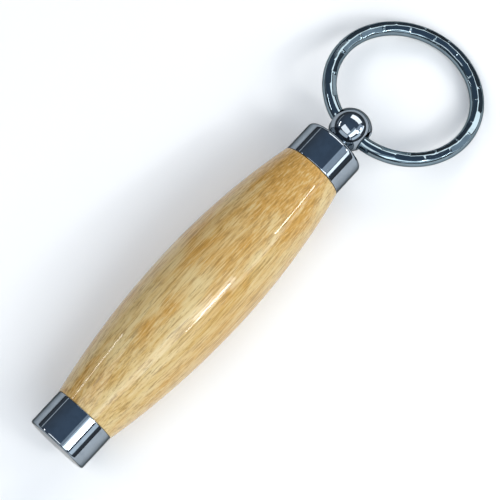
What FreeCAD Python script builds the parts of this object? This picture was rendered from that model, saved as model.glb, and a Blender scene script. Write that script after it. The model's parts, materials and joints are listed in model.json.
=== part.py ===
"""Turned wooden keychain with a screw-off storage tube, a swivelling ball and a ring.

Everything is turned about one axis, which is the row's X axis. The flat end of the end cap
lies at X = 0, the body lies level, +Z is up, and the ring is at the +X end. From left to
right the pieces are the end cap, the wooden barrel on its brass tube, the threaded coupler,
the screw cap with its gasket, the swivel ball held by a washer and a screw, and the ring.
The ring leans down until it rests on the same table as the barrel's belly.

All lengths are millimetres and all angles are degrees.
"""

import FreeCAD, Part
import math
import os

import Sketcher

# Driving dimensions. Each one is a cell of the sheet, and every piece reads the cells.
SIZES = {
    # tube and what is pressed into it
    "tube_diameter": 9.5,
    "tube_wall": 0.4,
    "spigot_length": 6.0,
    "spigot_wall": 0.75,
    "lead_in": 0.3,
    # barrel
    "barrel_length": 62.3,
    "barrel_step": 0.1,
    "belly_diameter": 19.4,
    "belly_place": 32.4,
    # end cap
    "end_cap_length": 7.7,
    "end_cap_round": 0.5,
    "end_floor": 2.0,
    # coupler and its thread
    "flange_lip": 0.55,
    "flange_thickness": 0.5,
    "coupler_reach": 4.0,
    "thread_depth": 0.4,
    "thread_pitch": 0.9,
    "thread_runout": 0.6,
    "ridge_root_width": 0.55,
    "ridge_crest_width": 0.2,
    "thread_gap": 0.1,
    # screw cap and its gasket
    "cap_wall": 0.75,
    "cap_gap": 0.1,
    "screw_cap_round": 0.9,
    "mouth_round": 0.15,
    "flange_gap": 0.3,
    "gasket_thickness": 0.6,
    "gasket_width": 1.4,
    "gasket_gap": 0.1,
    "washer_room": 0.7,
    "roof_thickness": 1.6,
    # swivel
    "ball_diameter": 8.3,
    "waist_diameter": 4.6,
    "collar_diameter": 6.0,
    "collar_height": 0.6,
    "neck_diameter": 4.0,
    "swivel_gap": 0.05,
    "washer_diameter": 5.6,
    "washer_thickness": 0.4,
    "washer_gap": 0.3,
    "screw_diameter": 2.0,
    "screw_gap": 0.03,
    "screw_web": 0.6,
    "head_diameter": 4.2,
    "head_height": 0.9,
    "head_round": 0.35,
    "slot_width": 0.6,
    "slot_depth": 0.45,
    "eye_gap": 0.75,
    "eye_flare": 0.5,
    # ring
    "wire_diameter": 2.8,
    "ring_diameter": 32.0,
    "ring_bend": 5.0,
    "bend_inside": 0.55,
    "ring_split": 0.4,
    "ring_yaw": 8.0,
}

SHEET = "sizes"
EXTRA = 1.0  # how far a cutting shape runs past the face that it cuts


class Size:
    """A length that carries both its formula on the sheet and its value now."""

    def __init__(self, formula, value):
        self.formula = formula
        self.value = value

    def joined(self, other, sign, value):
        other_formula = other.formula if isinstance(other, Size) else repr(other)
        return Size(f"({self.formula} {sign} {other_formula})", value)

    def __add__(self, other):
        return self.joined(other, "+", self.value + number(other))

    def __sub__(self, other):
        return self.joined(other, "-", self.value - number(other))

    def __mul__(self, other):
        return self.joined(other, "*", self.value * number(other))

    def __truediv__(self, other):
        return self.joined(other, "/", self.value / number(other))

    def root(self):
        return Size(f"sqrt{self.formula}", math.sqrt(self.value))

    def arcsine(self):
        return Size(f"asin{self.formula}", math.degrees(math.asin(self.value)))


def number(length):
    return length.value if isinstance(length, Size) else length


def make_sheet(doc):
    """Writes the driving dimensions into the sheet and returns them as sizes by name."""
    sheet = doc.addObject("Spreadsheet::Sheet", SHEET)
    for row, (name, value) in enumerate(SIZES.items(), start=1):
        sheet.set(f"A{row}", name)
        sheet.set(f"B{row}", str(value))
        sheet.setAlias(f"B{row}", name)
    doc.recompute()
    return {name: Size(f"{SHEET}.{name}", value) for name, value in SIZES.items()}


# ---------------------------------------------------------------- sketch helpers


def origin_plane(body, role):
    return next(f for f in body.Origin.OriginFeatures if f.Role == role)


def new_body(doc, label, place=None):
    """A body with its label, and its place along the row's X axis as a formula."""
    body = doc.addObject("PartDesign::Body", label)
    body.Label = label
    if place is not None:
        body.setExpression("Placement.Base.x", place.formula)
    return body


def new_sketch(body, name, role):
    sketch = body.newObject("Sketcher::SketchObject", name)
    sketch.AttachmentSupport = [(origin_plane(body, role), "")]
    sketch.MapMode = "FlatFace"
    return sketch


def bind(sketch, kind, places, length):
    """One dimension of a sketch, tied to its formula."""
    index = sketch.addConstraint(Sketcher.Constraint(kind, *places, length.value))
    sketch.setExpression(f"Constraints[{index}]", length.formula)


def pin(sketch, geometry, point, across=None, up=None):
    """Holds a point of a sketch at its distances from the origin. 0 puts it on an axis."""
    for kind, axis, length in (("DistanceX", -2, across), ("DistanceY", -1, up)):
        if length is None:
            continue
        if isinstance(length, Size):
            bind(sketch, kind, (-1, 1, geometry, point), length)
        else:
            sketch.addConstraint(Sketcher.Constraint("PointOnObject", geometry, point, axis))


def outline(sketch, corners):
    """Draws a closed outline of straight edges and arcs.

    A corner (x, y) ends a straight edge. A corner (x, y, centre_x, centre_y) ends an arc
    about that centre, which turns the short way and whose centre is pinned across only.
    """
    edges = []
    for index, corner in enumerate(corners):
        start = [number(value) for value in corners[index - 1][:2]]
        end = [number(value) for value in corner[:2]]
        if len(corner) == 2:
            line = Part.LineSegment(FreeCAD.Vector(*start, 0), FreeCAD.Vector(*end, 0))
            edges.append((sketch.addGeometry(line, False), 1, 2))
            continue
        middle = [number(value) for value in corner[2:]]
        first = math.atan2(start[1] - middle[1], start[0] - middle[0])
        last = math.atan2(end[1] - middle[1], end[0] - middle[0])
        forwards = math.sin(last - first) > 0
        radius = math.dist(middle, end)
        circle = Part.Circle(FreeCAD.Vector(*middle, 0), FreeCAD.Vector(0, 0, 1), radius)
        angles = (first, last) if forwards else (last, first)
        edge = sketch.addGeometry(Part.ArcOfCircle(circle, *angles), False)
        edges.append((edge, 1, 2) if forwards else (edge, 2, 1))
        pin(sketch, edge, 3, across=corner[2])
    for (edge, _, finish), (following, begin, _) in zip(edges, edges[1:] + edges[:1]):
        sketch.addConstraint(Sketcher.Constraint("Coincident", edge, finish, following, begin))
    for (edge, _, finish), corner in zip(edges, corners):
        pin(sketch, edge, finish, across=corner[0], up=corner[1])


def turn(body, name, corners, kind="PartDesign::Revolution", role="XZ_Plane", axis="H_Axis"):
    """Turns an outline about an axis of its sketch, to add or to cut."""
    sketch = new_sketch(body, name + "_outline", role)
    outline(sketch, corners)
    feature = body.newObject(kind, name)
    feature.Profile = sketch
    feature.ReferenceAxis = (sketch, [axis])
    feature.Angle = 360
    return feature


def wind(body, name, corners, pitch, turns, kind):
    """Winds an outline into a helix about the body's X axis, to add or to cut."""
    sketch = new_sketch(body, name + "_outline", "XZ_Plane")
    outline(sketch, corners)
    feature = body.newObject(kind, name)
    feature.Profile = sketch
    feature.ReferenceAxis = (sketch, ["H_Axis"])
    feature.Mode = "pitch-turns-angle"
    feature.setExpression("Pitch", pitch.formula)
    feature.setExpression("Turns", turns.formula)
    return feature


# ---------------------------------------------------------------- shared fits


def add_fits(s):
    """Adds the sizes that two or more pieces share and that follow from the driving ones."""
    tube = s["tube_diameter"] / 2
    s["tube"] = tube
    s["spigot"] = tube - s["tube_wall"]
    s["store"] = s["spigot"] - s["spigot_wall"]
    s["flange"] = tube + s["flange_lip"]
    s["flange_room"] = s["flange"] + s["flange_gap"]
    s["cap_radius"] = s["flange_room"] + s["cap_wall"]
    s["crest"] = s["spigot"] + s["thread_depth"]
    s["rim"] = s["coupler_reach"] - s["cap_gap"]
    s["ledge"] = s["rim"] + s["gasket_thickness"] + s["gasket_gap"] * 2
    s["roof"] = s["ledge"] + s["washer_room"]
    s["screw_cap_length"] = s["roof"] + s["roof_thickness"]
    ball = s["ball_diameter"] / 2
    waist = s["waist_diameter"] / 2
    s["ball"] = ball
    s["waist_drop"] = (ball * ball - waist * waist).root()
    s["ball_rise"] = s["waist_drop"] + s["collar_height"] + s["swivel_gap"]
    s["neck_reach"] = s["ball_rise"] + s["roof_thickness"] + s["swivel_gap"]
    s["eye"] = s["wire_diameter"] / 2 + s["eye_gap"]
    s["eye_mouth"] = (ball * ball - s["eye"] * s["eye"]).root()
    s["screw_depth"] = s["neck_reach"] - s["eye"] - s["screw_web"]
    s["loop"] = (s["ring_diameter"] - s["wire_diameter"]) / 2
    s["straight"] = s["eye_mouth"] - s["bend_inside"]
    bent = s["loop"] - s["ring_bend"]
    s["loop_reach"] = s["ring_bend"] + (bent * bent - s["straight"] * s["straight"]).root()
    drop = (s["belly_diameter"] - s["wire_diameter"]) / 2
    s["ring_pitch"] = (drop / (s["loop_reach"] + s["loop"])).arcsine()


# ---------------------------------------------------------------- pieces


def make_end_cap(doc, s, place):
    """Flat-ended cap with a bored spigot, pressed into the tube."""
    body = new_body(doc, "end_cap", place["end_cap"])
    outer = s["cap_radius"]
    spigot = s["spigot"]
    tip = s["end_cap_length"] + s["spigot_length"]
    edge = s["end_cap_round"]
    mouth = s["mouth_round"]
    turn(body, "end_cap_solid", [
        (0, 0),
        (0, outer - edge),
        (edge, outer, edge, outer - edge),
        (s["end_cap_length"] - mouth, outer),
        (s["end_cap_length"], outer - mouth, s["end_cap_length"] - mouth, outer - mouth),
        (s["end_cap_length"], spigot),
        (tip - s["lead_in"], spigot),
        (tip, spigot - s["lead_in"]),
        (tip, s["store"]),
        (s["end_floor"], s["store"]),
        (s["end_floor"], 0),
    ])
    return body


def make_wood_barrel(doc, s, place):
    """Barrel turned with two arcs that meet smoothly at the belly, bored for the tube."""
    body = new_body(doc, "wood_barrel", place["barrel"])
    end = s["cap_radius"] + s["barrel_step"]
    belly = s["belly_diameter"] / 2
    rise = belly - end
    centres = []
    for run in (s["belly_place"], s["barrel_length"] - s["belly_place"]):
        radius = (run * run + rise * rise) / (rise * 2)
        centres.append(belly - radius)
    turn(body, "wood_barrel_solid", [
        (0, s["tube"]),
        (0, end),
        (s["belly_place"], belly, s["belly_place"], centres[0]),
        (s["barrel_length"], end, s["belly_place"], centres[1]),
        (s["barrel_length"], s["tube"]),
    ])
    return body


def make_brass_tube(doc, s, place):
    """Thin tube glued into the barrel and trimmed flush with it."""
    body = new_body(doc, "brass_tube", place["barrel"])
    turn(body, "brass_tube_solid", [
        (0, s["spigot"]),
        (0, s["tube"]),
        (s["barrel_length"], s["tube"]),
        (s["barrel_length"], s["spigot"]),
    ])
    return body


def make_coupler(doc, s, place):
    """Sleeve pressed into the tube, with a flange that stops it and a thread for the cap."""
    body = new_body(doc, "threaded_coupler", place["coupler"])
    root = s["spigot"]
    flange_start = s["spigot_length"]
    flange_end = flange_start + s["flange_thickness"]
    tip = flange_start + s["coupler_reach"]
    lead = s["lead_in"]
    turn(body, "coupler_solid", [
        (0, s["store"]),
        (0, root - lead),
        (lead, root),
        (flange_start, root),
        (flange_start, s["flange"]),
        (flange_end, s["flange"]),
        (flange_end, root),
        (tip - lead, root),
        (tip, root - lead),
        (tip, s["store"]),
    ])
    middle = flange_end + s["thread_runout"]
    half_root = s["ridge_root_width"] / 2
    half_crest = s["ridge_crest_width"] / 2
    sunk = root - s["thread_gap"]
    turns = (s["coupler_reach"] - s["flange_thickness"] - s["thread_runout"] * 2) / s["thread_pitch"]
    wind(body, "coupler_thread", [
        (middle - half_root, sunk),
        (middle - half_crest, s["crest"]),
        (middle + half_crest, s["crest"]),
        (middle + half_root, sunk),
    ], s["thread_pitch"], turns, "PartDesign::AdditiveHelix")
    return body


def make_screw_cap(doc, s, place):
    """Cap that screws onto the coupler. Its roof carries the swivel and seats the gasket."""
    body = new_body(doc, "screw_cap", place["screw_cap"])
    outer = s["cap_radius"]
    length = s["screw_cap_length"]
    edge = s["screw_cap_round"]
    mouth = s["mouth_round"]
    bore = s["spigot"] + s["thread_gap"]
    groove = s["crest"] + s["thread_gap"]
    chamber = groove + s["swivel_gap"]
    skirt = s["flange_thickness"] + s["thread_gap"]
    recess = s["washer_diameter"] / 2 + s["washer_gap"]
    hole = s["neck_diameter"] / 2 + s["swivel_gap"]
    turn(body, "screw_cap_solid", [
        (0, s["flange_room"]),
        (0, outer - mouth),
        (mouth, outer, mouth, outer - mouth),
        (length - edge, outer),
        (length, outer - edge, length - edge, outer - edge),
        (length, hole),
        (s["roof"], hole),
        (s["roof"], recess),
        (s["ledge"], recess),
        (s["ledge"], chamber),
        (s["rim"], chamber),
        (s["rim"], bore),
        (skirt, bore),
        (skirt, s["flange_room"]),
    ])
    # The groove starts one pitch before the coupler's ridge, so that the two are in mesh.
    ridge = s["flange_thickness"] + s["thread_runout"] - s["cap_gap"]
    start = ridge - s["thread_pitch"]
    half_bottom = s["ridge_crest_width"] / 2 + s["thread_gap"]
    half_mouth = s["ridge_root_width"] / 2 + s["thread_gap"]
    wind(body, "cap_thread", [
        (start - half_mouth, s["spigot"]),
        (start - half_bottom, groove),
        (start + half_bottom, groove),
        (start + half_mouth, s["spigot"]),
    ], s["thread_pitch"], (s["rim"] - start) / s["thread_pitch"], "PartDesign::SubtractiveHelix")
    return body


def make_gasket(doc, s, place):
    """Flat rubber ring under the cap's ledge, which seals on the coupler's rim."""
    body = new_body(doc, "cap_gasket", place["gasket"])
    inner = s["crest"] - s["gasket_width"]
    turn(body, "gasket_solid", [
        (0, inner),
        (0, s["crest"]),
        (s["gasket_thickness"], s["crest"]),
        (s["gasket_thickness"], inner),
    ])
    return body


def make_swivel_ball(doc, s, place):
    """Ball on a collar and neck, with an eye bored across it for the ring.

    Its own origin is the ball's centre.
    """
    body = new_body(doc, "swivel_ball", place["ball"])
    ball = s["ball"]
    neck = s["neck_diameter"] / 2
    shank = s["screw_diameter"] / 2
    collar_end = s["waist_drop"]
    collar_start = collar_end + s["collar_height"]
    neck_end = s["neck_reach"]
    hole_end = neck_end - s["screw_depth"]
    turn(body, "swivel_ball_solid", [
        (hole_end * -1, 0),
        (hole_end * -1, shank),
        (neck_end * -1, shank),
        (neck_end * -1, neck),
        (collar_start * -1, neck),
        (collar_start * -1, s["collar_diameter"] / 2),
        (collar_end * -1, s["waist_diameter"] / 2),
        (0, ball, 0, 0),
        (ball, 0, 0, 0),
    ])
    eye = s["eye"]
    flare = s["eye_flare"]
    mouth = s["eye_mouth"]
    for name, side in (("left_mouth", 1), ("right_mouth", -1)):
        turn(body, name, [
            (0, (mouth + EXTRA) * side),
            (eye + flare, (mouth + EXTRA) * side),
            (eye + flare, mouth * side),
            (eye, (mouth - flare) * side, eye + flare, (mouth - flare) * side),
            (eye, 0),
            (0, 0),
        ], kind="PartDesign::Groove", role="XY_Plane", axis="V_Axis")
    return body


def make_swivel_washer(doc, s, place):
    """Washer inside the cap, clamped between the neck and the screw's head."""
    body = new_body(doc, "swivel_washer", place["washer"])
    hole = s["screw_diameter"] / 2 + s["screw_gap"]
    outer = s["washer_diameter"] / 2
    turn(body, "washer_solid", [
        (0, hole),
        (0, outer),
        (s["washer_thickness"], outer),
        (s["washer_thickness"], hole),
    ])
    return body


def make_swivel_screw(doc, s, place):
    """Slotted screw up the middle of the neck, which keeps the ball on the cap."""
    body = new_body(doc, "swivel_screw", place["screw"])
    head = s["head_diameter"] / 2
    edge = s["head_round"]
    shank = s["screw_diameter"] / 2
    top = s["head_height"]
    tip = top + s["washer_thickness"] + s["screw_depth"] - s["lead_in"]
    turn(body, "screw_solid", [
        (0, 0),
        (0, head - edge),
        (edge, head, edge, head - edge),
        (top, head),
        (top, shank),
        (tip - s["lead_in"], shank),
        (tip, shank - s["lead_in"]),
        (tip, 0),
    ])
    slot = new_sketch(body, "slot_outline", "XZ_Plane")
    half = s["slot_width"] / 2
    outline(slot, [(EXTRA * -1, half * -1), (s["slot_depth"], half * -1),
                   (s["slot_depth"], half), (EXTRA * -1, half)])
    cut = body.newObject("PartDesign::Pocket", "slot")
    cut.Profile = slot
    cut.Midplane = True
    cut.setExpression("Length", (s["head_diameter"] + EXTRA).formula)
    return body


def arc(centre, radius, first, last):
    circle = Part.Circle(FreeCAD.Vector(*centre, 0), FreeCAD.Vector(0, 0, 1), radius)
    return Part.ArcOfCircle(circle, math.radians(first), math.radians(last))


def make_key_ring(doc, s, place):
    """One round wire. Its two ends meet in the eye, where it runs straight through the ball.

    The path lies in the body's XY plane: a straight part along Y at the origin, a bend at
    each of its ends, and one large arc that joins the bends.
    """
    body = new_body(doc, "key_ring", place["ball"])
    body.setExpression("Placement.Rotation.Yaw", (s["ring_yaw"] * -1).formula)
    body.setExpression("Placement.Rotation.Pitch", s["ring_pitch"].formula)
    loop = s["loop"]
    bend = s["ring_bend"]
    straight = s["straight"]
    split = s["ring_split"] / 2
    reach = s["loop_reach"]
    sweep = math.degrees(math.atan2(straight.value, reach.value - bend.value))

    path = new_sketch(body, "wire_path", "XY_Plane")
    left, left_bend, large, right_bend, right = path.addGeometry([
        Part.LineSegment(FreeCAD.Vector(0, split.value, 0), FreeCAD.Vector(0, straight.value, 0)),
        arc((bend.value, straight.value), bend.value, 180 - sweep, 180),
        arc((reach.value, 0), loop.value, 180 + sweep, 540 - sweep),
        arc((bend.value, -straight.value), bend.value, 180, 180 + sweep),
        Part.LineSegment(FreeCAD.Vector(0, -straight.value, 0), FreeCAD.Vector(0, -split.value, 0)),
    ], False)
    for first, last in (((left, 2), (left_bend, 2)), ((left_bend, 1), (large, 2)),
                        ((large, 1), (right_bend, 2)), ((right_bend, 1), (right, 1))):
        path.addConstraint(Sketcher.Constraint("Tangent", *first, *last))
    for edge, point in ((left, 1), (left, 2), (right, 1), (right, 2)):
        path.addConstraint(Sketcher.Constraint("PointOnObject", edge, point, -2))
    path.addConstraint(Sketcher.Constraint("PointOnObject", large, 3, -1))
    bind(path, "DistanceY", (-1, 1, left, 1), split)
    bind(path, "DistanceY", (-1, 1, left, 2), straight)
    bind(path, "DistanceY", (right, 2, -1, 1), split)
    for edge, radius in ((left_bend, bend), (large, loop), (right_bend, bend)):
        bind(path, "Radius", (edge,), radius)

    section = new_sketch(body, "wire_section", "XZ_Plane")
    section.setExpression("AttachmentOffset.Base.z", (split * -1).formula)
    wire = section.addGeometry(
        Part.Circle(FreeCAD.Vector(0, 0, 0), FreeCAD.Vector(0, 0, 1), s["wire_diameter"].value / 2), False)
    section.addConstraint(Sketcher.Constraint("Coincident", wire, 3, -1, 1))
    bind(section, "Radius", (wire,), s["wire_diameter"] / 2)

    pipe = body.newObject("PartDesign::AdditivePipe", "wire")
    pipe.Profile = section
    pipe.Spine = path
    pipe.Mode = "Frenet"
    return body


# ---------------------------------------------------------------- assembly


def places(s):
    """Where each piece's own origin lies along the row's X axis."""
    barrel = s["end_cap_length"]
    barrel_end = barrel + s["barrel_length"]
    screw_cap = barrel_end + s["cap_gap"]
    ball = screw_cap + s["screw_cap_length"] + s["ball_rise"]
    washer = ball - s["neck_reach"] - s["washer_thickness"]
    return {
        "end_cap": Size("0 mm", 0.0),
        "barrel": barrel,
        "coupler": barrel_end - s["spigot_length"],
        "screw_cap": screw_cap,
        "gasket": barrel_end + s["coupler_reach"] + s["gasket_gap"],
        "ball": ball,
        "washer": washer,
        "screw": washer - s["head_height"],
    }


MAKERS = (
    make_end_cap,
    make_wood_barrel,
    make_brass_tube,
    make_coupler,
    make_gasket,
    make_screw_cap,
    make_swivel_washer,
    make_swivel_screw,
    make_swivel_ball,
    make_key_ring,
)


def check(doc, pieces):
    """Stops the build if anything failed to compute or is not a sound solid."""
    for item in doc.Objects:
        if "Invalid" in item.State or "Error" in item.State:
            raise RuntimeError(f"{item.Label} did not compute: {item.State}")
    for piece in pieces:
        if piece.Shape.isNull() or not piece.Shape.isValid() or len(piece.Shape.Solids) != 1:
            raise RuntimeError(f"{piece.Label} is not one sound solid")


def main():
    doc = FreeCAD.newDocument("keychain")
    s = make_sheet(doc)
    add_fits(s)
    place = places(s)
    pieces = [make(doc, s, place) for make in MAKERS]
    doc.recompute()
    check(doc, pieces)
    os.makedirs("parts", exist_ok=True)
    for piece in pieces:
        piece.Shape.exportStep(f"parts/{piece.Label}.step")
        print(f"{piece.Label}: {piece.Shape.Volume:.2f} mm3")


main()
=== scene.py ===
import json
import math

import bmesh
import bpy
from bpy.props import FloatProperty, FloatVectorProperty, IntProperty, PointerProperty
from mathutils import Matrix, Vector


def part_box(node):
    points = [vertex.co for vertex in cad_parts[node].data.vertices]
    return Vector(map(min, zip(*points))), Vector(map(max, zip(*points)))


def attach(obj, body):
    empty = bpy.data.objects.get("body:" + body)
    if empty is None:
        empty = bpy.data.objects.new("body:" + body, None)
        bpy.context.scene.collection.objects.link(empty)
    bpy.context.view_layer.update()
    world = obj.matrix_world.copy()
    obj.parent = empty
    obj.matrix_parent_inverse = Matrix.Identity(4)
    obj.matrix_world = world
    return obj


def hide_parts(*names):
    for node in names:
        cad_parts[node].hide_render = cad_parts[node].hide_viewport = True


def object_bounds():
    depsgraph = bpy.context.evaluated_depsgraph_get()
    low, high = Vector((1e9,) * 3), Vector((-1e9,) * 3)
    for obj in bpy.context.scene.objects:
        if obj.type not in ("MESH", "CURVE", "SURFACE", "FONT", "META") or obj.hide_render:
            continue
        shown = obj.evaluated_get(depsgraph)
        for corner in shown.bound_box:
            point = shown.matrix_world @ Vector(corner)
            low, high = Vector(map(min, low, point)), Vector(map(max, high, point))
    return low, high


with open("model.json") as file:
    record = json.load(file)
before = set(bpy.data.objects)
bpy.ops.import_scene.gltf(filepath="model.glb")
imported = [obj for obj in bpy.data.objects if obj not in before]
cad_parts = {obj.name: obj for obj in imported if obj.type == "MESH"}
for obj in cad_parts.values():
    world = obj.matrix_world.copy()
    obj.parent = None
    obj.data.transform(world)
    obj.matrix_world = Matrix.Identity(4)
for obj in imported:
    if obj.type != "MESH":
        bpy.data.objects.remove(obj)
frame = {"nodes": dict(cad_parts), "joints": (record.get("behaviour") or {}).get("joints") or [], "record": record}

bl_info = {
    "name": "Turned keychain",
    "version": (1, 0, 0),
    "blender": (4, 5, 0),
    "location": "View3D > Sidebar > Keychain",
    "description": "A turned wooden keychain with chrome caps, a swivel ball and a faceted ring",
    "category": "Object",
}

CAD_BOX = [list(corner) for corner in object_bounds()]

MM = 0.001
WELD = 0.002 * MM      # points nearer than this are one point
TURN_STEPS = 128       # faces round a turned piece
SUPPORT = 0.06 * MM    # extra loop beside a rounded edge, which keeps the long face straight


# ------------------------------------------------------------------ places from the frame


def span(node):
    """Start, end and radius of a turned CAD node along the X axis."""
    low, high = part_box(node)
    return low.x, high.x, high.z


def joint(name):
    return next(j for j in frame["joints"] if j["name"] == name)


def mount(name):
    return next(m for m in frame["record"]["mounts"] if m["name"] == name)


BALL_CENTRE = Vector(joint("ring_swing")["pos_m"])
RING_AXIS = Vector(joint("ring_swing")["axis"]).normalized()
LOOP_CENTRE = Vector(mount("key_loop")["pos_m"])


# ------------------------------------------------------------------ settings


def length(name, description, millimetres):
    return FloatProperty(name=name, description=description, default=millimetres * MM,
                         min=0.0, precision=5, unit="LENGTH", subtype="DISTANCE")


def colour(name, description, red, green, blue):
    return FloatVectorProperty(name=name, description=description, default=(red, green, blue),
                               size=3, min=0.0, max=1.0, subtype="COLOR")


def amount(name, description, value, high=1.0):
    return FloatProperty(name=name, description=description, default=value, min=0.0, max=high)


def angle(name, description, degrees):
    return FloatProperty(name=name, description=description, default=math.radians(degrees),
                         subtype="ANGLE", unit="ROTATION")


class BodySettings(bpy.types.PropertyGroup):
    """Sizes of the turned body's pieces."""

    tube_wall: length("Tube wall", "Wall of the brass tube inside the wood", 0.4)
    spigot_wall: length("Spigot wall", "Wall of the end cap's bored spigot", 0.75)
    end_floor: length("End floor", "Thickness of the end cap's closed end", 2.0)
    end_round: length("End rounding", "Rounding of the end cap's outer edge", 0.5)
    top_round: length("Cap rounding", "Rounding of the screw cap's outer edge", 0.9)
    mouth_round: length("Mouth rounding", "Rounding where each cap meets the wood", 0.15)
    barrel_step: length("Barrel step", "How far the wood's ends stand proud of the caps", 0.1)
    belly_place: length("Belly place", "From the wood's plain end to its thickest part", 32.4)


class WoodSettings(bpy.types.PropertyGroup):
    """Colours and gloss of the lacquered wood."""

    pale: colour("Pale wood", "Palest bands of the wood", 0.70, 0.58, 0.335)
    honey: colour("Honey wood", "Most of the wood", 0.61, 0.425, 0.17)
    # Amber also paints the shade towards the ring end and on the +Y side.
    amber: colour("Amber wood", "Warm patches", 0.57, 0.325, 0.08)
    streak: colour("Streaks", "Thin dark fibres and pores", 0.25, 0.15, 0.05)
    coat: colour("Lacquer", "Tint of the clear lacquer", 0.90, 0.84, 0.72)
    gloss: amount("Lacquer roughness", "Roughness of the clear lacquer", 0.035)


class ChromeSettings(bpy.types.PropertyGroup):
    """Colour and gloss of the plated pieces."""

    tint: colour("Chrome", "Colour of the plating", 0.31, 0.35, 0.39)
    ring_tint: colour("Ring chrome", "Colour of the ring's plating, which is darker", 0.215, 0.275, 0.31)
    edge: colour("Chrome edge", "Colour of the plating seen at a glancing angle", 0.17, 0.165, 0.15)
    gloss: amount("Chrome roughness", "Roughness of the plating", 0.045)


class RingSettings(bpy.types.PropertyGroup):
    """Sizes of the ring's wire and of the flats pressed into it."""

    wire: length("Wire", "Diameter of the wire", 2.8)
    diameter: length("Ring", "Outer diameter of the ring", 32.0)
    bend: length("Bend", "Radius of the bend at each side of the ball", 5.0)
    split: length("Split", "Gap between the wire's two ends inside the ball", 0.4)
    flats: IntProperty(name="Flats", description="Flats along the ring's round part in each row",
                       default=15, min=4, max=40)
    depth: length("Flat depth", "Least depth of a flat", 0.08)


class StageSettings(bpy.types.PropertyGroup):
    """Camera and lights."""

    azimuth: angle("Camera azimuth", "Direction of the camera round the object", 229.85)
    elevation: angle("Camera elevation", "Height of the camera above the floor", 74.0)
    roll: angle("Camera roll", "Turn of the picture", -8.05)
    distance: length("Camera distance", "From the camera to its target", 392.7)
    target_x: length("Target X", "Where the camera looks along the body", 51.0)
    target_y: FloatProperty(name="Target Y", description="Where the camera looks across the body",
                            default=-1.67 * MM, unit="LENGTH", subtype="DISTANCE")
    lens: FloatProperty(name="Lens", description="Focal length in millimetres", default=151.4, min=1.0)


# ------------------------------------------------------------------ modelling helpers


def start_piece(name):
    """A new piece in edit mode that holds one point at the origin."""
    bpy.ops.object.select_all(action="DESELECT")
    bpy.ops.mesh.primitive_plane_add(size=1.0, location=(0.0, 0.0, 0.0))
    piece = bpy.context.object
    piece.name = piece.data.name = name
    bpy.ops.object.mode_set(mode="EDIT")
    bpy.ops.mesh.select_all(action="SELECT")
    bpy.ops.mesh.merge(type="CENTER")
    return piece


def draw(points):
    """Moves the one selected point to the first of the points and extrudes it through the rest."""
    bpy.ops.transform.translate(value=points[0])
    for before, after in zip(points, points[1:]):
        bpy.ops.mesh.extrude_region_move(TRANSFORM_OT_translate={"value": after - before})


def close_piece():
    """Welds what meets, turns the faces outwards and leaves edit mode."""
    bpy.ops.mesh.select_all(action="SELECT")
    bpy.ops.mesh.remove_doubles(threshold=WELD)
    bpy.ops.mesh.normals_make_consistent(inside=False)
    bpy.ops.object.mode_set(mode="OBJECT")


def smooth(piece, degrees=25.0):
    bpy.ops.object.select_all(action="DESELECT")
    piece.select_set(True)
    bpy.context.view_layer.objects.active = piece
    bpy.ops.object.shade_smooth_by_angle(angle=math.radians(degrees))


def rounded(centre, radius, first, last, steps=6):
    """Points of an arc in an outline, from one angle to another, in degrees."""
    angles = (math.radians(first + (last - first) * i / steps) for i in range(steps + 1))
    return [(centre[0] + radius * math.cos(a), centre[1] + radius * math.sin(a)) for a in angles]


def turned(name, outline, across=False, centre=Vector((0.0, 0.0, 0.0))):
    """Turns a closed outline of (along, radius) points about the X axis, or about Y if across."""
    piece = start_piece(name)
    if across:
        points = [centre + Vector((0.0, along, radius)) for along, radius in outline]
    else:
        points = [centre + Vector((along, 0.0, radius)) for along, radius in outline]
    draw(points)
    bpy.ops.mesh.select_all(action="SELECT")
    bpy.ops.mesh.spin(steps=TURN_STEPS, angle=math.tau, center=centre,
                      axis=(0.0, 1.0, 0.0) if across else (1.0, 0.0, 0.0))
    close_piece()
    return piece


def fitted(piece, body, slot, material, *nodes):
    """Gives a finished piece its material and body, and hides the CAD nodes it stands for. The slot is not used.
    """
    piece.data.materials.clear()
    piece.data.materials.append(material)
    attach(piece, body)
    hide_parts(*nodes)


def boolean(piece, other, operation):
    """Joins another piece to this one, or cuts it away, and removes the other."""
    cut = piece.modifiers.new("cut", "BOOLEAN")
    cut.operation = operation
    cut.solver = "EXACT"
    cut.object = other
    bpy.context.view_layer.objects.active = piece
    bpy.ops.object.modifier_apply(modifier=cut.name)
    bpy.data.objects.remove(other)


# ------------------------------------------------------------------ materials


MIX_FIRST, MIX_SECOND = 6, 7    # a colour mix node's two colour inputs
MIX_RESULT = 2                  # and its colour output


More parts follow.
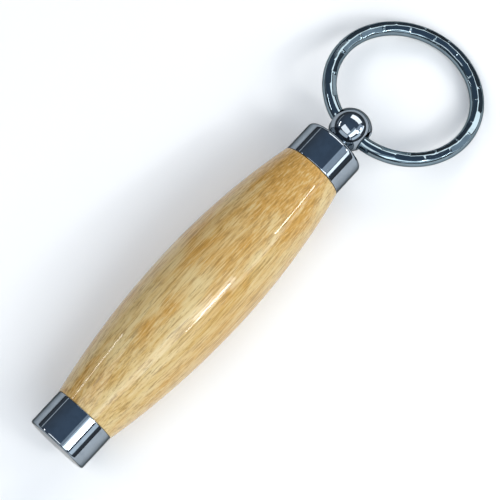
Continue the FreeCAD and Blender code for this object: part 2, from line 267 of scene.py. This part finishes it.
class Nodes:
    """Short names for the nodes of one material."""

    def __init__(self, name):
        self.material = bpy.data.materials.new(name)
        self.material.use_nodes = True
        self.tree = self.material.node_tree
        self.shader = self.tree.nodes["Principled BSDF"]
        self.place = self.tree.nodes.new("ShaderNodeTexCoord").outputs["Object"]

    def add(self, kind, inputs=(), **values):
        """Adds a node. A linked input is given as a socket and a plain one as its value."""
        node = self.tree.nodes.new(kind)
        for key, value in values.items():
            setattr(node, key, value)
        for key, value in dict(inputs).items():
            if isinstance(value, bpy.types.NodeSocket):
                self.tree.links.new(value, node.inputs[key])
            else:
                node.inputs[key].default_value = value
        return node

    def scaled(self, x, y, z, offset=(0.0, 0.0, 0.0)):
        """Object coordinates stretched by a factor along each axis."""
        node = self.add("ShaderNodeMapping", {
            "Vector": self.place, "Scale": (x, y, z), "Location": offset})
        return node.outputs["Vector"]

    def noise(self, vector, detail=4.0, roughness=0.5, distortion=0.0):
        node = self.add("ShaderNodeTexNoise", {
            "Vector": vector, "Scale": 1.0, "Detail": detail,
            "Roughness": roughness, "Distortion": distortion})
        return node.outputs["Fac"]

    def ramp(self, value, low, high, start=0.0, end=1.0):
        """Maps low..high to start..end and holds the ends."""
        node = self.add("ShaderNodeMapRange", {
            "Value": value, "From Min": low, "From Max": high, "To Min": start, "To Max": end},
            clamp=True)
        return node.outputs["Result"]

    def math(self, operation, first, second):
        return self.add("ShaderNodeMath", {0: first, 1: second}, operation=operation).outputs[0]

    def mixed(self, factor, first, second):
        """Mixes two colours, each a socket or three numbers."""
        ends = [c if isinstance(c, bpy.types.NodeSocket) else (*c, 1.0) for c in (first, second)]
        node = self.add("ShaderNodeMix", {
            "Factor": factor, MIX_FIRST: ends[0], MIX_SECOND: ends[1]}, data_type="RGBA")
        return node.outputs[MIX_RESULT]

    def bump(self, height, strength, distance):
        node = self.add("ShaderNodeBump", {
            "Height": height, "Strength": strength, "Distance": distance})
        return node.outputs["Normal"]

    def finish(self, **values):
        """Sets or links the shader's own sockets. An underscore stands for a space."""
        for key, value in values.items():
            socket = self.shader.inputs[key.replace("_", " ")]
            if isinstance(value, bpy.types.NodeSocket):
                self.tree.links.new(value, socket)
            else:
                socket.default_value = value
        return self.material


def lacquered_wood(settings):
    """Pale honey wood with its grain along X, under a clear gloss lacquer, with painted shade towards the ring end
    and on its +Y side.
    """
    n = Nodes("lacquered_wood")
    bands = n.noise(n.scaled(30.0, 480.0, 480.0, (0.3, 0.1, 0.7)),
                    detail=5.0, roughness=0.65, distortion=0.3)
    fibre = n.noise(n.scaled(190.0, 2700.0, 2700.0, (0.9, 0.2, 0.4)), detail=4.0, roughness=0.65)
    flecks = n.noise(n.scaled(420.0, 3600.0, 3600.0, (0.5, 0.6, 0.1)), detail=3.0, roughness=0.6)
    patches = n.noise(n.scaled(75.0, 170.0, 170.0, (0.2, 0.8, 0.5)),
                      detail=4.0, roughness=0.6, distortion=0.8)
    broad = n.noise(n.scaled(24.0, 70.0, 70.0, (0.6, 0.3, 0.2)), detail=2.0, distortion=0.5)

    # Painted shade: the wood is painted warmer and darker amber towards the ring end and on its +Y side, which
    # faces away from the windows. Painted light: its -Y side is painted paler.
    parts = n.add("ShaderNodeSeparateXYZ", {"Vector": n.place})
    ends = n.ramp(parts.outputs["X"], 0.045, 0.070, 0.0, 0.16)
    sides = n.ramp(parts.outputs["Y"], -0.009, 0.009, -0.05, 0.07)
    patches_and_painted_shade = n.math("ADD", n.math("ADD", patches, ends), sides)

    # Bands of pale and honey wood, then warm patches with the painted light and shade, then fibres and flecks over
    # them.
    base = n.mixed(n.ramp(bands, 0.38, 0.62), settings.honey, settings.pale)
    # Amber is mixed in by the random warm patches and by the painted shade at the ring end and the +Y side.
    warm = n.mixed(n.ramp(patches_and_painted_shade, 0.47, 0.66, 0.0, 0.9), base, settings.amber)
    warm = n.mixed(n.ramp(broad, 0.52, 0.68, 0.0, 0.45), warm, settings.amber)
    grained = n.mixed(n.ramp(fibre, 0.50, 0.64, 0.0, 0.6), warm, settings.streak)
    grained = n.mixed(n.ramp(fibre, 0.49, 0.34, 0.0, 0.75), grained, settings.pale)
    grained = n.mixed(n.ramp(flecks, 0.60, 0.70, 0.0, 0.55), grained, settings.streak)

    ripple = n.noise(n.scaled(60.0, 260.0, 260.0, (0.4, 0.4, 0.9)), detail=2.0)
    grain_relief = n.bump(fibre, 0.10, 0.00008)
    surface = n.bump(ripple, 0.22, 0.00010)
    return n.finish(Base_Color=grained, Roughness=0.5, Normal=grain_relief, IOR=1.4,
                    Specular_IOR_Level=0.2, Coat_Weight=0.85, Coat_Roughness=settings.gloss,
                    Coat_IOR=1.42, Coat_Tint=(*settings.coat, 1.0), Coat_Normal=surface)


def polished_chrome(settings, name, plating):
    """Mirror plating with faint hairlines and a slight unevenness."""
    n = Nodes(name)
    haze = n.noise(n.scaled(500.0, 500.0, 500.0), detail=3.0)
    hairs = n.noise(n.scaled(9000.0, 700.0, 700.0), detail=2.0)
    marks = n.ramp(hairs, 0.60, 0.75, 0.0, 0.025)
    rough = n.math("ADD", n.ramp(haze, 0.35, 0.75, settings.gloss * 0.6, settings.gloss * 1.6), marks)
    dim = [c * 0.86 for c in plating]
    tint = n.mixed(n.ramp(haze, 0.45, 0.7), plating, dim)
    uneven = n.bump(n.noise(n.scaled(160.0, 160.0, 160.0), detail=1.0), 0.05, 0.00010)
    return n.finish(Base_Color=tint, Metallic=1.0, Roughness=rough, Normal=uneven,
                    Specular_Tint=(*settings.edge, 1.0))


def turned_brass():
    """Brass with fine marks left by turning."""
    n = Nodes("turned_brass")
    rings = n.noise(n.scaled(16000.0, 120.0, 120.0), detail=2.0)
    stain = n.noise(n.scaled(260.0, 260.0, 260.0), detail=4.0)
    tone = n.mixed(n.ramp(stain, 0.4, 0.7), (0.76, 0.55, 0.22), (0.55, 0.36, 0.13))
    return n.finish(Base_Color=tone, Metallic=1.0, Roughness=n.ramp(rings, 0.3, 0.7, 0.22, 0.4),
                    Normal=n.bump(rings, 0.3, 0.00002))


def turned_steel():
    """Plain steel with fine marks left by turning."""
    n = Nodes("turned_steel")
    rings = n.noise(n.scaled(12000.0, 300.0, 300.0), detail=2.0)
    stain = n.noise(n.scaled(400.0, 400.0, 400.0), detail=3.0)
    tone = n.mixed(n.ramp(stain, 0.4, 0.7), (0.55, 0.55, 0.56), (0.38, 0.38, 0.40))
    return n.finish(Base_Color=tone, Metallic=1.0, Roughness=n.ramp(rings, 0.3, 0.7, 0.25, 0.45),
                    Normal=n.bump(rings, 0.3, 0.00002))


def gasket_rubber():
    """Matt black rubber with a dusty bloom."""
    n = Nodes("gasket_rubber")
    dust = n.noise(n.scaled(900.0, 900.0, 900.0), detail=5.0, roughness=0.6)
    tone = n.mixed(n.ramp(dust, 0.45, 0.75), (0.018, 0.018, 0.019), (0.055, 0.053, 0.05))
    return n.finish(Base_Color=tone, Roughness=n.ramp(dust, 0.3, 0.7, 0.6, 0.85),
                    Normal=n.bump(dust, 0.25, 0.00003))


def floor_paint():
    """Plain, near-white matt floor."""
    n = Nodes("floor_paint")
    mottle = n.noise(n.scaled(8.0, 8.0, 8.0), detail=2.0)
    tone = n.mixed(n.ramp(mottle, 0.3, 0.7), (0.95, 0.95, 0.95), (0.93, 0.93, 0.93))
    return n.finish(Base_Color=tone, Roughness=0.9, Specular_IOR_Level=0.1)


# ------------------------------------------------------------------ pieces


class KEYCHAIN_OT_end_cap(bpy.types.Operator):
    """Turn the chrome end cap with its bored spigot"""

    bl_idname = "keychain.end_cap"
    bl_label = "End cap"

    def execute(self, context):
        s = context.scene.keychain_body
        start, tip, radius = span("end_cap")
        end = span("wood_barrel")[0]
        spigot = span("brass_tube")[2] - s.tube_wall
        store = spigot - s.spigot_wall
        outline = [(start, 0.0), (start, radius - s.end_round - SUPPORT)]
        outline += rounded((start + s.end_round, radius - s.end_round), s.end_round, 180, 90)
        outline += [(start + s.end_round + SUPPORT, radius), (end - s.mouth_round - SUPPORT, radius)]
        outline += rounded((end - s.mouth_round, radius - s.mouth_round), s.mouth_round, 90, 0, 4)
        outline += [(end, spigot), (tip, spigot), (tip, store),
                    (start + s.end_floor, store), (start + s.end_floor, 0.0)]
        piece = turned("chrome_end_cap", outline)
        smooth(piece)
        chrome = context.scene.keychain_chrome
        fitted(piece, "barrel", "chrome", polished_chrome(chrome, "cap_chrome", chrome.tint), "end_cap")
        return {"FINISHED"}


class KEYCHAIN_OT_wood_barrel(bpy.types.Operator):
    """Turn the wooden barrel from two arcs that meet at its belly, with its bore"""

    bl_idname = "keychain.wood_barrel"
    bl_label = "Wooden barrel"

    ARC_STEPS = 72    # points along the barrel's outline

    ease: length("Eased edge", "Rounding of the wood's two end edges", 0.2)

    def execute(self, context):
        s = context.scene.keychain_body
        start, end, belly = span("wood_barrel")
        bore = span("brass_tube")[2]
        rim = span("end_cap")[2] + s.barrel_step
        middle = start + s.belly_place
        rise = belly - rim

        def radius_at(x):
            run = middle - start if x < middle else end - middle
            curve = (run * run + rise * rise) / (2.0 * rise)
            return belly - curve + math.sqrt(curve * curve - (x - middle) ** 2)

        first, last = start + self.ease, end - self.ease
        along = [first + (last - first) * i / self.ARC_STEPS for i in range(self.ARC_STEPS + 1)]
        outline = [(start, bore)]
        outline += rounded((first, radius_at(first) - self.ease), self.ease, 180, 90, 4)
        outline += [(x, radius_at(x)) for x in along[1:-1]]
        outline += rounded((last, radius_at(last) - self.ease), self.ease, 90, 0, 4)
        outline += [(end, bore), (start, bore)]
        piece = turned("turned_barrel", outline)
        smooth(piece, 40.0)
        fitted(piece, "barrel", "lacquered_wood", lacquered_wood(context.scene.keychain_wood),
               "wood_barrel")
        return {"FINISHED"}


class KEYCHAIN_OT_screw_cap(bpy.types.Operator):
    """Turn the chrome screw cap with its stepped inside"""

    bl_idname = "keychain.screw_cap"
    bl_label = "Screw cap"

    flange_room: length("Flange room", "Radius of the recess in the cap's mouth", 5.6)
    flange_depth: length("Flange depth", "Depth of the recess in the cap's mouth", 0.6)
    bore: length("Bore", "Radius of the threaded bore", 4.45)
    bore_end: length("Bore end", "From the mouth to the end of the threaded bore", 3.9)
    chamber: length("Chamber", "Radius of the gasket's chamber", 4.9)
    ledge: length("Ledge", "From the mouth to the gasket's ledge", 4.7)
    recess: length("Recess", "Radius of the washer's recess", 3.1)
    roof: length("Roof", "From the mouth to the inside of the roof", 5.4)
    hole: length("Hole", "Radius of the hole for the ball's neck", 2.05)
    pitch: length("Thread pitch", "Advance of the thread in one turn", 0.9)
    groove: length("Thread groove", "Radius at the bottom of the thread's groove", 4.85)
    groove_inner: length("Groove inner edge", "Radius that the thread's cutter starts from", 4.35)
    groove_start: length("Groove start", "From the mouth to the middle of the groove's start", 0.1)
    groove_floor: length("Groove floor", "Half width of the groove's floor", 0.2)
    groove_mouth: length("Groove mouth", "Half width of the cutter at its inner edge", 0.375)

    def execute(self, context):
        s = context.scene.keychain_body
        start, top, radius = span("screw_cap")
        outline = [(start, self.flange_room), (start, radius - s.mouth_round)]
        outline += rounded((start + s.mouth_round, radius - s.mouth_round), s.mouth_round, 180, 90, 4)
        outline += [(start + s.mouth_round + SUPPORT, radius), (top - s.top_round - SUPPORT, radius)]
        outline += rounded((top - s.top_round, radius - s.top_round), s.top_round, 90, 0, 10)
        outline += [(top, radius - s.top_round - SUPPORT), (top, self.hole),
                    (start + self.roof, self.hole), (start + self.roof, self.recess),
                    (start + self.ledge, self.recess), (start + self.ledge, self.chamber),
                    (start + self.bore_end, self.chamber), (start + self.bore_end, self.bore),
                    (start + self.flange_depth, self.bore), (start + self.flange_depth, self.flange_room),
                    (start, self.flange_room)]
        piece = turned("chrome_screw_cap", outline)
        boolean(piece, self.thread_cutter(start), "DIFFERENCE")
        smooth(piece)
        chrome = context.scene.keychain_chrome
        fitted(piece, "cap", "chrome", polished_chrome(chrome, "screw_cap_chrome", chrome.tint), "screw_cap")
        return {"FINISHED"}

    def thread_cutter(self, start):
        """Winds the groove's outline along the bore, with both ends closed."""
        cutter = start_piece("thread_cutter")
        middle = start + self.groove_start
        corners = [Vector((middle + along, 0.0, radius)) for along, radius in (
            (-self.groove_mouth, self.groove_inner), (-self.groove_floor, self.groove),
            (self.groove_floor, self.groove), (self.groove_mouth, self.groove_inner))]
        draw([*corners, corners[0]])
        bpy.ops.mesh.select_all(action="SELECT")
        bpy.ops.mesh.remove_doubles(threshold=WELD)
        bpy.ops.object.mode_set(mode="OBJECT")
        turns = (self.bore_end - self.groove_start) / self.pitch
        wind = cutter.modifiers.new("wind", "SCREW")
        wind.axis = "X"
        wind.angle = math.tau * turns
        wind.screw_offset = self.pitch * turns
        wind.steps = wind.render_steps = round(TURN_STEPS * turns)
        bpy.ops.object.modifier_apply(modifier=wind.name)
        bpy.ops.object.mode_set(mode="EDIT")
        bpy.ops.mesh.select_all(action="SELECT")
        bpy.ops.mesh.fill_holes(sides=len(corners))
        close_piece()
        return cutter


class KEYCHAIN_OT_swivel_ball(bpy.types.Operator):
    """Turn the ball about its eye, and join the collar and neck that it stands on"""

    bl_idname = "keychain.swivel_ball"
    bl_label = "Swivel ball"

    eye: length("Eye", "Radius of the hole across the ball", 2.15)
    flare: length("Flare", "Rounding of the hole's two mouths", 0.5)
    waist: length("Waist", "Radius where the collar meets the ball", 2.3)
    collar: length("Collar", "Radius of the collar's foot", 3.0)
    collar_height: length("Collar height", "Height of the collar", 0.6)
    neck: length("Neck", "Radius of the neck inside the cap", 2.0)
    shank: length("Screw hole", "Radius of the hole for the screw", 1.0)
    web: length("Web", "Metal left between the eye and the screw's hole", 0.6)
    sink: length("Sink", "How deep the collar's top runs into the ball", 0.3)
    tuck: length("Tuck", "How far the collar's sunk top stays inside the waist", 0.08)

    def execute(self, context):
        ball = span("swivel_ball")[2]
        inner_end = span("swivel_ball")[0] - BALL_CENTRE.x
        # The flare's arc leaves the eye's wall straight and ends where it meets the ball.
        flare_radius = self.eye + self.flare
        flare_along = math.sqrt(ball ** 2 - self.eye ** 2) - self.flare
        reach = math.hypot(flare_along, flare_radius)
        swing = math.acos((ball ** 2 - reach ** 2 - self.flare ** 2) / (2.0 * self.flare * reach))
        last = math.degrees(math.atan2(flare_radius, flare_along) - swing)
        arc = rounded((flare_along, flare_radius), self.flare, -90, last, 8)
        edge = math.degrees(math.atan2(arc[-1][1], arc[-1][0]))
        outline = [(-flare_along, self.eye), *arc]
        outline += rounded((0.0, 0.0), ball, edge, 180 - edge, 64)[1:]
        outline += rounded((-flare_along, flare_radius), self.flare, 180 - last, 270, 8)[1:]
        piece = turned("chrome_ball", outline, across=True, centre=BALL_CENTRE)

        drop = math.sqrt(ball ** 2 - self.waist ** 2)
        sunk = -drop + self.sink
        stem = turned("stem", [
            (sunk, 0.0), (sunk, self.waist - self.tuck), (-drop, self.waist),
            (-drop - self.collar_height * 0.5, self.waist + 0.25 * (self.collar - self.waist)),
            (-drop - self.collar_height, self.collar), (-drop - self.collar_height, self.neck),
            (inner_end, self.neck), (inner_end, 0.0),
        ], centre=BALL_CENTRE)
        boolean(piece, stem, "UNION")
        hole_end = -self.eye - self.web
        past_end = inner_end - MM
        hole = turned("screw_hole", [
            (hole_end, 0.0), (hole_end, self.shank), (past_end, self.shank), (past_end, 0.0),
        ], centre=BALL_CENTRE)
        boolean(piece, hole, "DIFFERENCE")
        smooth(piece)
        chrome = context.scene.keychain_chrome
        fitted(piece, "swivel", "chrome", polished_chrome(chrome, "ball_chrome", chrome.tint), "swivel_ball")
        return {"FINISHED"}


class KEYCHAIN_OT_key_ring(bpy.types.Operator):
    """Bend the ring's wire round its path and press staggered rows of flats into it"""

    bl_idname = "keychain.key_ring"
    bl_label = "Key ring"

    SIDES = 64                          # faces round the wire
    FLAT_STEPS = 24                     # faces along one flat and the rib beside it
    FLAT_SHARE = 0.92                   # of its length that a flat takes, and the rib has the rest
    BEND_STEPS = 8                      # faces along each bend beside the ball
    LEAN = 4.0                          # degrees that the flats lean to one side or the other
    ROWS = (75.0, 115.0, -75.0, -115.0)    # degrees round the wire to each row, from its outside

    def execute(self, context):
        s = context.scene.keychain_ring
        along = (LOOP_CENTRE - BALL_CENTRE).normalized()
        reach = (LOOP_CENTRE - BALL_CENTRE).length
        loop = (s.diameter - s.wire) / 2.0
        straight = math.sqrt((loop - s.bend) ** 2 - (reach - s.bend) ** 2)
        sweep = math.atan2(straight, reach - s.bend)

        bpy.ops.object.select_all(action="DESELECT")
        bpy.ops.mesh.primitive_circle_add(vertices=self.SIDES, radius=s.wire / 2.0, fill_type="NGON",
                                          location=(0.0, s.split / 2.0, 0.0),
                                          rotation=(math.pi / 2.0, 0.0, 0.0))
        piece = bpy.context.object
        piece.name = piece.data.name = "faceted_ring"
        bpy.ops.object.transform_apply(location=True, rotation=True, scale=True)
        bpy.ops.object.mode_set(mode="EDIT")
        bpy.ops.mesh.select_all(action="SELECT")
        self.lengthen(straight - s.split / 2.0)
        self.bent((s.bend, straight, 0.0), sweep, self.BEND_STEPS)
        self.bent((reach, 0.0, 0.0), math.tau - 2.0 * sweep, s.flats * self.FLAT_STEPS)
        self.bent((s.bend, -straight, 0.0), sweep, self.BEND_STEPS)
        self.lengthen(straight - s.split / 2.0)
        close_piece()
        self.press_flats(piece, s, Vector((reach, 0.0, 0.0)), loop, math.tau - 2.0 * sweep)

        turn = Matrix((along, RING_AXIS, along.cross(RING_AXIS))).transposed().to_4x4()
        piece.matrix_world = Matrix.Translation(BALL_CENTRE) @ turn
        bpy.ops.object.select_all(action="DESELECT")
        piece.select_set(True)
        bpy.context.view_layer.objects.active = piece
        bpy.ops.object.transform_apply(location=True, rotation=True, scale=True)
        smooth(piece, 60.0)
        chrome = context.scene.keychain_chrome
        fitted(piece, "ring", "ring_chrome", polished_chrome(chrome, "ring_chrome", chrome.ring_tint),
               "key_ring")
        return {"FINISHED"}

    def lengthen(self, distance):
        bpy.ops.mesh.extrude_region_move(TRANSFORM_OT_translate={"value": (0.0, distance, 0.0)})

    def bent(self, centre, sweep, steps):
        bpy.ops.mesh.spin(steps=steps, angle=sweep, center=centre, axis=(0.0, 0.0, 1.0))

    def press_flats(self, piece, s, centre, loop, arc):
        """Presses every row of flats. Every second row is shifted by half a flat."""
        pitch = arc / s.flats
        bpy.ops.object.mode_set(mode="EDIT")
        bpy.ops.mesh.select_mode(type="VERT")
        mesh = bmesh.from_edit_mesh(piece.data)
        angles = [math.atan2(v.co.y, v.co.x - centre.x) for v in mesh.verts]
        for row, degrees in enumerate(self.ROWS):
            rise = math.radians(degrees)
            count = s.flats - 2 + row % 2
            for number in range(count):
                around = (number - (count - 1) / 2.0) * pitch
                reach = self.FLAT_SHARE * pitch / 2.0
                near = [i for i, a in enumerate(angles) if abs(a - around) < reach]
                lean = self.LEAN * math.sin(2.4 * number + 1.7 * row)
                self.press(piece, near, centre, loop, s, around, rise + math.radians(lean), pitch)
        bpy.ops.object.mode_set(mode="OBJECT")

    def press(self, piece, near, centre, loop, s, around, rise, pitch):
        """Moves the points of one flat that stand proud of its plane onto the plane."""
        outward = Vector((math.cos(around), math.sin(around), 0.0))
        normal = outward * math.cos(rise) + Vector((0.0, 0.0, math.sin(rise)))
        swell = (loop + s.wire / 2.0 * math.cos(rise)) * (1.0 - math.cos(pitch / 2.0)) * math.cos(rise)
        touch = centre + outward * loop + normal * (s.wire / 2.0 - s.depth - max(swell, 0.0))
        mesh = bmesh.from_edit_mesh(piece.data)
        mesh.verts.ensure_lookup_table()
        bpy.ops.mesh.select_all(action="DESELECT")
        for i in near:
            mesh.verts[i].select_set((mesh.verts[i].co - touch).dot(normal) > 0.0)
        bmesh.update_edit_mesh(piece.data)
        side = normal.orthogonal().normalized()
        axes = Matrix((side, normal.cross(side), normal)).transposed()
        bpy.ops.transform.resize(value=(1.0, 1.0, 0.0), orient_type="GLOBAL", orient_matrix=axes,
                                 orient_matrix_type="GLOBAL", constraint_axis=(False, False, True),
                                 center_override=touch)


class KEYCHAIN_OT_inner_parts(bpy.types.Operator):
    """Give the brass, steel and rubber pieces inside the body their finishes"""

    bl_idname = "keychain.inner_parts"
    bl_label = "Inner parts"

    def execute(self, context):
        finishes = ((turned_brass(), ("brass_tube", "threaded_coupler")),
                    (turned_steel(), ("swivel_washer", "swivel_screw")),
                    (gasket_rubber(), ("cap_gasket",)))
        for material, nodes in finishes:
            for node in nodes:
                frame["nodes"][node].material_slots[0].material = material
        return {"FINISHED"}


# ------------------------------------------------------------------ stage


class KEYCHAIN_OT_stage(bpy.types.Operator):
    """Set up the pale floor, the studio lights and the camera"""

    bl_idname = "keychain.stage"
    bl_label = "Stage"

    FLOOR_WIDTH = 6.0
    AIM_X = 0.045      # where along the body the end panels face

    # Name, place, width and height in metres, radiance and colour of each panel of light.
    LIGHTS = (
        ("window_near", (-0.35, -0.57, 0.64), 1.00, 0.27, 3.9, (0.93, 0.97, 1.0)),
        ("window_glow", (-0.31, -0.443, 0.737), 1.08, 0.10, 1.2, (0.88, 0.96, 1.0)),
        ("window_fade", (-0.31, -0.340, 0.790), 1.08, 0.12, 0.5, (0.80, 0.92, 1.0)),
        ("window_far", (0.585, -0.72, 0.36), 0.80, 0.14, 3.0, (0.93, 0.97, 1.0)),
        ("window_haze", (0.555, -0.60, 0.60), 0.80, 0.34, 0.7, (0.78, 0.89, 1.0)),
        ("low_haze", (-0.22, -0.81, 0.34), 0.80, 0.22, 1.4, (0.84, 0.93, 1.0)),
        ("lamp_far", (0.54, -0.72, 0.535), 0.24, 0.05, 26.0, (1.0, 1.0, 0.98)),
        ("lamp_middle", (0.158, -0.695, 0.57), 0.115, 0.06, 24.0, (1.0, 1.0, 0.98)),
        ("lamp_glow", (0.158, -0.67, 0.60), 0.16, 0.20, 8.0, (1.0, 1.0, 0.98)),
        ("lamp_edge", (0.150, -0.74, 0.50), 0.150, 0.02, 14.0, (1.0, 1.0, 0.98)),
        ("lamp_near", (0.075, -0.71, 0.55), 0.06, 0.03, 24.0, (1.0, 1.0, 0.98)),
        ("back_strip", (-0.22, 0.74, 0.50), 0.36, 0.035, 14.0, (1.0, 1.0, 1.0)),
        ("back_slit", (0.10, 0.84, 0.30), 0.70, 0.035, 1.1, (0.92, 0.97, 1.0)),
        ("end_panel", (0.82, 0.05, 0.57), 0.90, 0.42, 3.1, (1.0, 0.98, 0.95)),
        ("near_panel", (-0.42, 0.12, 0.86), 0.90, 0.50, 2.35, (1.0, 0.98, 0.95)),
    )

    def execute(self, context):
        self.make_floor()
        self.make_room(context)
        for name, place, width, tall, radiance, tint in self.LIGHTS:
            self.make_light(context, name, Vector(place), width, tall, radiance, tint)
        self.make_camera(context)
        context.scene.view_settings.view_transform = "Standard"
        return {"FINISHED"}

    def make_floor(self):
        bpy.ops.object.select_all(action="DESELECT")
        bpy.ops.mesh.primitive_plane_add(size=self.FLOOR_WIDTH, location=(0.0, 0.0, CAD_BOX[0][2]))
        floor = bpy.context.object
        floor.name = "floor"
        floor.data.materials.append(floor_paint())

    def make_room(self, context):
        """A dim blue-grey room in the reflections, and a pale backdrop behind the object."""
        world = bpy.data.worlds.new("room")
        context.scene.world = world
        world.use_nodes = True
        tree = world.node_tree
        surface = tree.nodes["Background"]
        place = tree.nodes.new("ShaderNodeTexCoord")
        parts = tree.nodes.new("ShaderNodeSeparateXYZ")
        shade = tree.nodes.new("ShaderNodeValToRGB")
        shade.color_ramp.elements[0].position = 0.0
        shade.color_ramp.elements[0].color = (0.08, 0.085, 0.09, 1.0)
        shade.color_ramp.elements[1].position = 1.0
        shade.color_ramp.elements[1].color = (0.12, 0.178, 0.262, 1.0)
        backdrop = tree.nodes.new("ShaderNodeMix")
        backdrop.data_type = "RGBA"
        backdrop.inputs[MIX_SECOND].default_value = (0.80, 0.82, 0.84, 1.0)
        path = tree.nodes.new("ShaderNodeLightPath")
        tree.links.new(place.outputs["Generated"], parts.inputs[0])
        tree.links.new(parts.outputs["Z"], shade.inputs[0])
        tree.links.new(path.outputs["Is Camera Ray"], backdrop.inputs["Factor"])
        tree.links.new(shade.outputs[0], backdrop.inputs[MIX_FIRST])
        tree.links.new(backdrop.outputs[MIX_RESULT], surface.inputs["Color"])

    def make_light(self, context, name, place, width, tall, radiance, tint):
        """A flat panel of light, square to the body if it is beside it, or else facing its middle."""
        beside = abs(place.x) < abs(place.y)
        away = place - Vector((place.x if beside else self.AIM_X, 0.0, 0.0))
        bpy.ops.object.light_add(type="AREA", location=place)
        lamp = context.object
        lamp.name = name
        lamp.rotation_euler = away.to_track_quat("Z", "Y").to_euler()
        lamp.data.shape = "RECTANGLE"
        lamp.data.size = width
        lamp.data.size_y = tall
        lamp.data.energy = radiance * width * tall * math.pi
        lamp.data.color = tint

    def make_camera(self, context):
        s = context.scene.keychain_stage
        back = Vector((math.cos(s.elevation) * math.cos(s.azimuth),
                       math.cos(s.elevation) * math.sin(s.azimuth), math.sin(s.elevation)))
        right = Vector((0.0, 0.0, 1.0)).cross(back).normalized()
        up = back.cross(right)
        turned_right = right * math.cos(s.roll) + up * math.sin(s.roll)
        turned_up = up * math.cos(s.roll) - right * math.sin(s.roll)
        place = Vector((s.target_x, s.target_y, 0.0)) + back * s.distance
        bpy.ops.object.camera_add()
        camera = context.object
        camera.name = "camera"
        camera.matrix_world = Matrix.Translation(place) @ Matrix(
            (turned_right, turned_up, back)).transposed().to_4x4()
        camera.data.lens = s.lens
        camera.data.clip_start = 0.01
        context.scene.camera = camera


class KEYCHAIN_PT_panel(bpy.types.Panel):
    """Lists the steps that build the keychain"""

    bl_idname = "KEYCHAIN_PT_panel"
    bl_label = "Keychain"
    bl_space_type = "VIEW_3D"
    bl_region_type = "UI"
    bl_category = "Keychain"

    def draw(self, context):
        for operator in STEPS:
            self.layout.operator(operator.bl_idname)
        for name, _ in SETTINGS:
            box = self.layout.box()
            settings = getattr(context.scene, name)
            for key in settings.__annotations__:
                box.prop(settings, key)


SETTINGS = (
    ("keychain_body", BodySettings),
    ("keychain_wood", WoodSettings),
    ("keychain_chrome", ChromeSettings),
    ("keychain_ring", RingSettings),
    ("keychain_stage", StageSettings),
)
STEPS = (
    KEYCHAIN_OT_end_cap,
    KEYCHAIN_OT_wood_barrel,
    KEYCHAIN_OT_screw_cap,
    KEYCHAIN_OT_swivel_ball,
    KEYCHAIN_OT_key_ring,
    KEYCHAIN_OT_inner_parts,
    KEYCHAIN_OT_stage,
)


def register():
    for name, group in SETTINGS:
        bpy.utils.register_class(group)
        setattr(bpy.types.Scene, name, PointerProperty(type=group))
    for item in (*STEPS, KEYCHAIN_PT_panel):
        bpy.utils.register_class(item)


def unregister():
    for item in reversed((*STEPS, KEYCHAIN_PT_panel)):
        bpy.utils.unregister_class(item)
    for name, group in reversed(SETTINGS):
        delattr(bpy.types.Scene, name)
        bpy.utils.unregister_class(group)


def main():
    register()
    bpy.ops.keychain.end_cap()
    bpy.ops.keychain.wood_barrel()
    bpy.ops.keychain.screw_cap()
    bpy.ops.keychain.swivel_ball()
    bpy.ops.keychain.key_ring()
    bpy.ops.keychain.inner_parts()
    bpy.ops.keychain.stage()


if __name__ == "__main__":
    main()
